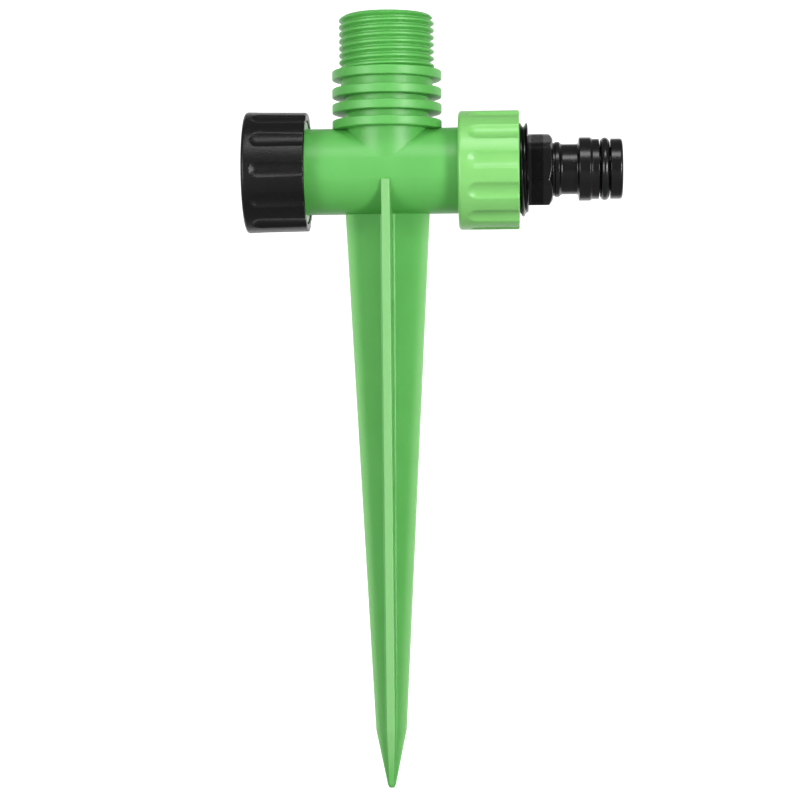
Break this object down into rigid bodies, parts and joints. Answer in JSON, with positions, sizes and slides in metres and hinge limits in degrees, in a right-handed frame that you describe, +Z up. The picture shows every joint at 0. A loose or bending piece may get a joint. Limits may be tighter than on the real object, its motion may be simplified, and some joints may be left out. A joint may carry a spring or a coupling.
{
  "type": "sprinkler base",
  "caption": "Garden sprinkler base: a green tee with a threaded riser on a cross-bladed ground spike, with a screw end cap and a swivel nut holding a quick-connect hose adaptor.",
  "frame": {"origin": "on the spike's axis at the underside of the tee, the soil line when the spike is pushed home", "axes": "+Z up along the riser, the arms along X with the end cap at -X and the hose adaptor at +X, +Y to the back"},
  "size_m": [0.1036, 0.0334, 0.2129],
  "materials": {
    "green_moulding": "semi-gloss moulded polypropylene",
    "light_green_moulding": "semi-gloss moulded polypropylene",
    "black_moulding": "satin moulded plastic",
    "seal_rubber": "smooth rubber"
  },
  "bodies": {
    "base": {"spike_body": "green_moulding"},
    "cap_seal": {"cap_washer": "seal_rubber"},
    "cap": {"end_cap": "black_moulding"},
    "nut": {"swivel_nut": "light_green_moulding"},
    "inlet_seal": {"inlet_washer": "seal_rubber"},
    "adaptor": {"hose_adaptor": "black_moulding", "adaptor_o_ring": "seal_rubber"}
  },
  "joints": [
    {"name": "cap_travel", "type": "slide", "parent": "base", "child": "cap_seal", "axis": [-1, 0, 0], "range_m": [0, 0.01122]},
    {"name": "cap_turn", "type": "hinge", "parent": "cap_seal", "child": "cap", "pos_m": [0, 0, 0.01185], "axis": [-1, 0, 0], "range_deg": [0, 2070]},
    {"name": "nut_swivel", "type": "hinge", "parent": "base", "child": "nut", "pos_m": [0, 0, 0.01185], "axis": [1, 0, 0], "continuous": true},
    {"name": "adaptor_travel", "type": "slide", "parent": "nut", "child": "inlet_seal", "axis": [1, 0, 0], "range_m": [0, 0.01024]},
    {"name": "adaptor_turn", "type": "hinge", "parent": "inlet_seal", "child": "adaptor", "pos_m": [0, 0, 0.01185], "axis": [1, 0, 0], "range_deg": [0, 1890]}
  ],
  "couplings": [
    {"joint": "cap_travel", "follows": "cap_turn", "m_per_rad": 0.00031035},
    {"joint": "adaptor_travel", "follows": "adaptor_turn", "m_per_rad": 0.00031035}
  ]
}
